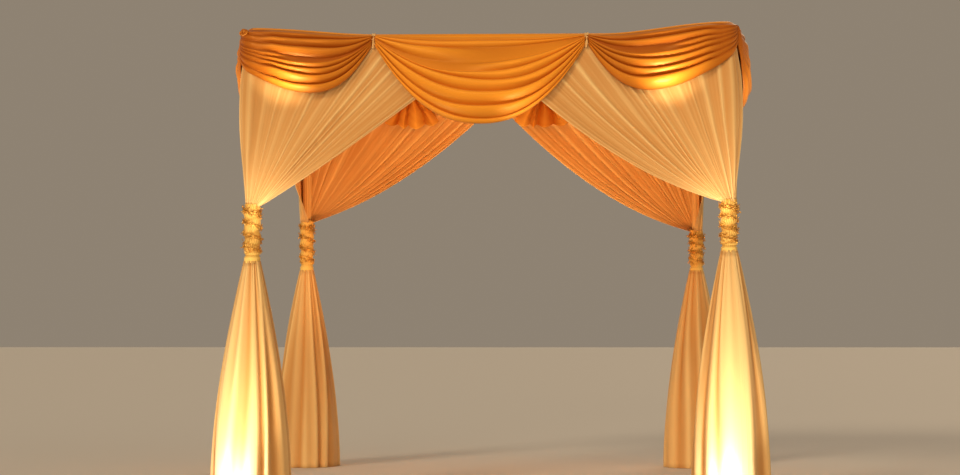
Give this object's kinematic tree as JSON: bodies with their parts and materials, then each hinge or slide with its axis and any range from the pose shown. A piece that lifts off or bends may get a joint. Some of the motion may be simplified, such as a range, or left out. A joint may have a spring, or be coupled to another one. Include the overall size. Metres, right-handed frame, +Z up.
{
  "type": "chuppah canopy",
  "caption": "Square wedding canopy on weighted posts: pipe frame with sheer half panels tied to the posts, satin swags and tails over the bars, wraps, garlands, bell skirts and a cloth ceiling.",
  "frame": {"origin": "centre of the bounding box at floor level, under the middle of the canopy", "axes": "+Z up, the front faces -Y, +X is to the right as seen from the front"},
  "size_m": [3.5772, 3.5772, 2.9893],
  "materials": {
    "frame_metal": "satin anodised pipe",
    "base_metal": "black powder coat",
    "sheer_ivory": "ivory sheer voile in fine pleats",
    "satin_gold": "antique gold satin",
    "wrap_ivory": "ivory cloth, shirred round the post",
    "garland_gold": "gold beaded wire"
  },
  "bodies": {
    "root": {"base_plate_front_left": "base_metal", "base_plate_front_right": "base_metal", "base_plate_back_left": "base_metal", "base_plate_back_right": "base_metal", "upright_front_left": "frame_metal", "upright_front_right": "frame_metal", "upright_back_left": "frame_metal", "upright_back_right": "frame_metal", "crossbar_front": "frame_metal", "crossbar_right": "frame_metal", "crossbar_back": "frame_metal", "crossbar_left": "frame_metal", "skirt_front_left": "sheer_ivory", "skirt_front_right": "sheer_ivory", "skirt_back_left": "sheer_ivory", "skirt_back_right": "sheer_ivory", "post_wrap_front_left": "wrap_ivory", "post_wrap_front_right": "wrap_ivory", "post_wrap_back_left": "wrap_ivory", "post_wrap_back_right": "wrap_ivory", "garland_front_left": "garland_gold", "garland_front_right": "garland_gold", "garland_back_left": "garland_gold", "garland_back_right": "garland_gold", "panel_front_left": "sheer_ivory", "panel_front_right": "sheer_ivory", "panel_right_front": "sheer_ivory", "panel_right_back": "sheer_ivory", "panel_back_right": "sheer_ivory", "panel_back_left": "sheer_ivory", "panel_left_back": "sheer_ivory", "panel_left_front": "sheer_ivory", "swag_front_left": "satin_gold", "swag_front_middle": "satin_gold", "swag_front_right": "satin_gold", "swag_right_front": "satin_gold", "swag_right_middle": "satin_gold", "swag_right_back": "satin_gold", "swag_back_right": "satin_gold", "swag_back_middle": "satin_gold", "swag_back_left": "satin_gold", "swag_left_back": "satin_gold", "swag_left_middle": "satin_gold", "swag_left_front": "satin_gold", "tail_front_left": "satin_gold", "tail_front_right": "satin_gold", "tail_right_front": "satin_gold", "tail_right_back": "satin_gold", "tail_back_right": "satin_gold", "tail_back_left": "satin_gold", "tail_left_back": "satin_gold", "tail_left_front": "satin_gold", "ceiling_cloth": "sheer_ivory"}
  },
  "joints": []
}
